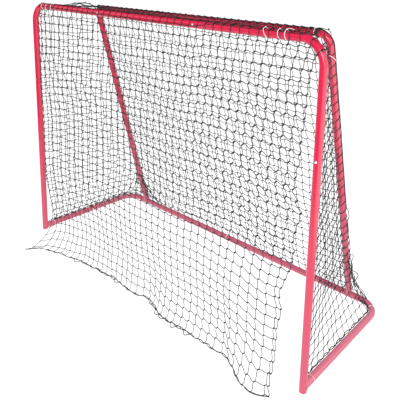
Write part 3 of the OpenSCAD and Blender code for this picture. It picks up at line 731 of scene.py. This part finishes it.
heights = np.linspace(0, 1.16, 60)
even_right = np.pad(np.interp(heights, RIGHT[:, 1], RIGHT[:, 0]), 8, mode="edge")
even_right = np.convolve(even_right, np.ones(17) / 17, "valid")
fall = np.linspace(0, 1, 260)
hang = np.zeros((len(column), len(fall), 3))
for i in column:
    # sideways it lies between its edges: the right one's ripples die out in a few columns
    z = axis_z[i] + (HEM_Z - axis_z[i]) * fall
    left = np.interp(z, LEFT[:, 1], LEFT[:, 0])
    right_edge = np.interp(z, heights, even_right)
    ripple = np.interp(z, RIGHT[:, 1], RIGHT[:, 0]) - right_edge
    ripple *= math.exp(-(CURTAIN_COLUMNS - i) / 2.2)
    # low down, the right edge's last meshes are drawn in by part of a column
    tuck = 0.68 * (i < CURTAIN_COLUMNS) * math.exp((i + 1 - CURTAIN_COLUMNS) / 5)
    tuck *= np.clip((fall - 0.6) / 0.2, 0, 1)
    x = left + (right_edge - left) * (share[i] + tuck / CURTAIN_COLUMNS) + ripple
    # and each column comes into line from its place on the bar over the first tenth
    x += (axis_x[i] - x[0]) * np.exp(-fall / 0.07)
    # it hangs straight down to bend_z, then curves forward and runs out on the floor to its
    # hem, as a Bezier curve in (forward, up)
    hem_y = -np.interp(x[-1], HEM[:, 0], HEM[:, 1])
    bend_z = np.interp(share[i], [0, 0.10, 0.25, 1], [0.16, 0.20, 0.30, 0.34])
    t = np.linspace(0, 1, 120)[:, None]
    bow = ((1 - t) ** 3 * [-REST, bend_z] + 3 * t * (1 - t) ** 2 * [-REST, 0.28 * bend_z]
           + 3 * t ** 2 * (1 - t) * [0.52 * hem_y - 0.48 * REST, HEM_Z] + t ** 3 * [hem_y, HEM_Z])
    line = np.concatenate([[[-REST, axis_z[i]]], bow])
    along = run_along(line[None])[0]
    y, z = (np.interp(fall, along / along[-1], line[:, axis]) for axis in (0, 1))
    for place, shift, deep, width in FOLDS:
        rise = np.clip((fall - 0.55) / 0.4, 0, 1) ** 1.5 * np.clip((1.02 - fall) / 0.06, 0.3, 1)
        off = (x - place + shift * (1 - fall)) / width
        y -= deep * rise * np.exp(-off ** 2)
        x -= 0.32 * width * rise * off * np.exp(-off ** 2)
    hang[i] = np.stack([x, y + line_y, z], -1)
path = np.concatenate([wrap[:, :-1], hang], axis=1)
wrap_length = run_along(wrap)[:, -1:]
hang_length = run_along(hang)[:, -1:]
# the first row lies low on the bar's front, and steps up to its top near the right joint
first = np.interp(reach, [-0.75, -0.45, 0.16, 0.30, 0.36, 0.75, 0.82],
                  [0.004, -0.002, -0.005, -0.003, 0.012, 0.014, 0.016])[:, None]
drop = MESH - first
# beside the bend the rows run on level, so its columns have shorter meshes at their top
lower = (bar.z - axis_z)[:, None]
level = drop + np.linspace(0, 1, HANG_ROWS)[None] * (hang_length + lower - drop) - lower
least = 0.010 + 0.010 * np.arange(HANG_ROWS)[None]
level = np.where(lower > 0.001, np.maximum(level, least), level)
places = np.concatenate([wrap_length - 0.048 + first, wrap_length - first, wrap_length + level],
                        axis=1)          # one row behind the bar, one on its front, and the rest
knots = along_path(path, places)
row = np.arange(places.shape[1])[None]
last_row = row[0, -1]
free = np.clip((row - 2) / (last_row - 2) * 8, 0, 1)[..., None]      # 0 where it wraps the bar
move = waves(knots, 0.006, count=8, seed=15, axes=(1.0, 0.8, 0.9)) * free
move += waves(knots, 0.0022, count=14, seed=16) * free
move[:, 1, 2] += np.random.default_rng(17).uniform(-0.0015, 0.0015, len(column))
move[..., 2] += np.maximum(HEM_Z - knots[..., 2] - move[..., 2], 0)
# knots turn most where the net hangs slack, right of the middle, and along the hem there
across, height = knots[..., 0], knots[..., 2]
slack = np.exp(-((across - 0.50) / 0.42) ** 2) * np.exp(-((height - 0.72) / 0.34) ** 2)
half = np.where(row < 2, 0.0016, 0.0022 + 0.0036 * slack)
half += 0.0026 * np.clip((across + 0.2) / 0.3, 0, 1) * np.clip((row - last_row + 5) / 3, 0, 1)
parts, curtain_knots = knotted(path, places, move, slant(knots, half), seed=35,
                               knot=0.0026 + 0.0008 * np.clip((height - 0.15) / 0.35, 0, 1))
# the hem is doubled with a cord, and in its middle a looser second one winds along it
rng = np.random.default_rng(61)
hem = curtain_knots[:, -1]
for edge, stray, out in ((hem, 0.003, 0), (hem[7:30], 0.007, 0.007)):
    fine = np.linspace(0, len(edge) - 1, len(edge) * 6 - 5)
    line = np.stack([np.interp(fine, np.arange(len(edge)), edge[:, axis]) for axis in range(3)], -1)
    swing = rng.normal(0, stray, (len(edge), 3)) + out * front
    line += np.abs(np.sin(math.pi * fine))[:, None] * swing[fine.astype(int)]
    line[:, 2] = np.maximum(line[:, 2], 0.0018)
    parts.append(cord(line, 0.0015))
piece_from("front_netting", parts, twine, ["front_curtain"])

# ---- Cable ties --------------------------------------------------------------------------
# Nylon cable ties hold the nets' edges to the tubes: 8 at the goal's top and 5 at its foot.
# Each is a moulded band with a square head, pulled tight by hand and cut off or left long.

TIE_POINTS = 48
TIE_HEAD = 0.0038

# Natural nylon 66, moulded: white, smooth and a little translucent
nylon, tree, shader, place = new_finish("white_moulded_nylon")
# Flow marks of the moulding, about 3 mm apart
flow = put(tree, "ShaderNodeTexNoise", {"Vector": place["Object"], "Scale": 300.0, "Detail": 2.0})
tone = put(tree, "ShaderNodeMix",
           {"Factor": flow["Fac"], "A": rgb("#fbfbf8"), "B": rgb("#efefe9")}, data_type="RGBA")
mark = put(tree, "ShaderNodeBump", {"Height": flow["Fac"], "Strength": 0.1, "Distance": 0.0003})
feed(shader, {"Base Color": tone["Result"], "Normal": mark["Normal"],
              "IOR": 1.53, "Roughness": 0.35, "Subsurface Weight": 0.1})


def tie(centre, ahead, side, lift, head, width=0.0022, thick=0.0010, tilt=0.0, tail=None):
    """A tie pulled tight round a tube, lift off it: ahead and side span its ring, head is the
    angle of its head from side, and tilt moves its crown along the tube. Gives its band, head
    and tail."""
    reach = TUBE_R + lift
    axis = np.cross(side, ahead)
    turn = np.linspace(0, 2 * math.pi, TIE_POINTS, endpoint=False)[:, None]
    out = np.cos(turn) * side + np.sin(turn) * ahead
    ring = centre + reach * out + tilt * np.sin(turn) * axis
    corners = [(-1, 0), (1, 0), (1, 1), (-1, 1)]
    band = np.stack([ring + a * width / 2 * axis + b * thick * out for a, b in corners], 1)
    band[..., 2] = np.maximum(band[..., 2], 0.0002)
    number = np.arange(TIE_POINTS * 4).reshape(TIE_POINTS, 4)
    after = np.roll(number, -1, 0)
    faces = np.stack([number, np.roll(number, -1, 1), np.roll(after, -1, 1), after], -1)
    faces = faces.reshape(-1, 4)
    lots = [(band.reshape(-1, 3), faces, np.zeros((len(faces) * 4, 2)))]
    at = math.radians(head)
    out = math.cos(at) * side + math.sin(at) * ahead
    along = -math.sin(at) * side + math.cos(at) * ahead
    foot = centre + (reach + 0.0002) * out + tilt * math.sin(at) * axis
    box = np.array([foot + TIE_HEAD * (c * out * 0.8 + a * axis / 2 + b * along / 2)
                    for c in (0, 1) for a, b in ((-1, -1), (1, -1), (1, 1), (-1, 1))])
    faces = np.array([(0, 3, 2, 1), (4, 5, 6, 7), (0, 1, 5, 4), (1, 2, 6, 5), (2, 3, 7, 6),
                      (3, 0, 4, 7)])
    lots.append((box, faces, np.zeros((24, 2))))
    if tail is not None:
        points = [foot + 0.0015 * out] + [foot + np.asarray(step) for step in tail]
        lots.append(cord(smooth(points, steps=5), 0.0009, sides=4))
    return lots


# round the crossbar: place along it, how far the crown leans, the head's angle from the front
lots = []
for place, tilt, head, tail in (
        (-0.722, 0.004, 95, None), (-0.687, -0.003, 100, None), (-0.6425, 0.002, 92, None),
        (0.604, 0.0105, 100, None), (0.656, 0.005, 96, None),
        (0.682, 0.004, 92, [(0.002, 0.001, 0.004), (0.014, 0.002, 0.0045), (0.024, 0.003, 0.002)])):
    centre = np.array([place, bar.y, bar.z]) + 0.0009 * up + 0.0014 * front
    lots += tie(centre, up, front, lift=0.0030, head=head, width=0.0021, thick=0.0009,
                tilt=tilt, tail=tail)
# round the rear top bar, and 50 mm below the bend on the right rear leg, where it is askew
lots += tie(np.array([BAR_TIE_X, rear_bar.y, rear_bar.z]), up, front, lift=0.0030, head=60,
            width=0.0025)
centre = leg_x * right + leg_foot + (leg_len - REAR_BEND_R - 0.050) * up_dir
lots += tie(centre, -out_dir, right, lift=0.0028, head=150, width=0.0030, tilt=-0.022)
piece_from("top_cable_ties", lots, nylon, ["top_ties"])
# round each base side behind its post and 36 degrees round its bend, and the rear base bar
lots = []
turn = math.radians(36)
for hand in (-1, 1):
    mirror = np.array([hand, 1, 1])
    centre = np.array([post_x, line_y + 0.048, base_z])
    lots += tie(centre * mirror, up, -hand * right, lift=0.0004, head=62, width=0.0012,
                thick=0.0005)
    out = np.array([math.cos(turn), math.sin(turn), 0.0])
    centre = np.array([post_x - BEND_R, base_bar.y - BEND_R, base_z]) + BEND_R * out
    lots += tie(centre * mirror, up, -out * mirror, lift=0.0026, head=60)
lots += tie(np.array([-0.028, base_bar.y, base_z]), up, front, lift=0.0026, head=120)
piece_from("base_cable_ties", lots, nylon, ["base_ties"])

# ---- Floor and light ---------------------------------------------------------------------
# The goal stands on a seamless white light table, lit from below so that it takes no
# shadows. One large softbox lights it from the front right and a weak one fills from the
# left. A white board beside the right post shows only in the tubes' gloss.

mesh = bpy.data.meshes.new("studio_floor")
mesh.from_pydata([(-9, -1.7, 0), (9, -1.7, 0), (9, 9, 0), (-9, 9, 0)], [], [(0, 1, 2, 3)])
floor = bpy.data.objects.new("studio_floor", mesh)
bpy.context.scene.collection.objects.link(floor)
# Matt grey floor paint: with the light from below it reads as an even white
paint, tree, shader, place = new_finish("white_floor_paint")
# Faint clouds of the roller's work, about 0.7 m apart
mottle = put(tree, "ShaderNodeTexNoise", {"Vector": place["Object"], "Scale": 1.5, "Detail": 2.0})
tone = put(tree, "ShaderNodeMix",
           {"Factor": mottle["Fac"], "A": rgb("#7d7d7d"), "B": rgb("#7a7a7a")}, data_type="RGBA")
# its light is brightest just in front of the goal, and falls off slowly all round
pool = put(tree, "ShaderNodeMapping", {"Vector": place["Object"], "Scale": (0.3, 0.3, 0.3),
                                       "Location": (-0.18, 0.13, 0.0)})
glow = put(tree, "ShaderNodeTexGradient", {"Vector": pool["Vector"]}, gradient_type="SPHERICAL")
table = put(tree, "ShaderNodeMapRange", {"Value": glow["Fac"], "From Max": 0.7,
                                         "To Min": 0.90, "To Max": 1.02},
            interpolation_type="SMOOTHSTEP")
feed(shader, {"Base Color": tone["Result"], "Roughness": 0.9, "Specular IOR Level": 0.1,
              "Emission Strength": table["Result"], "Emission Color": (1, 1, 1, 1)})
mesh.materials.append(paint)

scene = bpy.context.scene
world = bpy.data.worlds.new("white_room")
world.use_nodes = True
feed(world.node_tree.nodes["Background"], {"Color": (1, 1, 1, 1), "Strength": 1.06})
scene.world = world
world.cycles_visibility.glossy = False       # the tubes mirror the floor and the lamps alone
for name, spot, aim, size, power, mirrored_only in (
        ("key_softbox", (2.6, -3.4, 2.2), (0.1, 0, 0.5), 1.6, 75, False),
        ("fill_softbox", (-3.6, -2.0, 2.6), (0, 0, 0.5), 2.4, 15, False),
        ("right_reflector", (1.75, -0.2, 0.60), (0.8, -0.2, 0.6), 2.6, 50, True)):
    lamp = bpy.data.lights.new(name, "AREA")
    lamp.size = size
    lamp.energy = power
    light = bpy.data.objects.new(name, lamp)
    light.location = spot
    light.rotation_euler = (Vector(aim) - Vector(spot)).to_track_quat("-Z", "Y").to_euler()
    light.visible_diffuse = light.visible_camera = not mirrored_only
    scene.collection.objects.link(light)

# ---- Camera ------------------------------------------------------------------------------
# It stands 0.75 m outside the right post and 1.25 m in front of it, a little above the
# crossbar, and looks down across the mouth. The lens is shifted down and to the left.

lens = bpy.data.cameras.new("camera")
lens.sensor_width = 36.0
lens.lens = 45.71
lens.shift_x = -0.1352
lens.shift_y = -0.2979
camera = bpy.data.objects.new("camera", lens)
camera.location = (1.5622, line_y - 1.2509, 1.3286)
camera.rotation_euler = tuple(math.radians(a) for a in (78.606, -2.134, 39.207))
scene.collection.objects.link(camera)
scene.camera = camera
scene.view_settings.view_transform = "Standard"

bpy.context.view_layer.update()
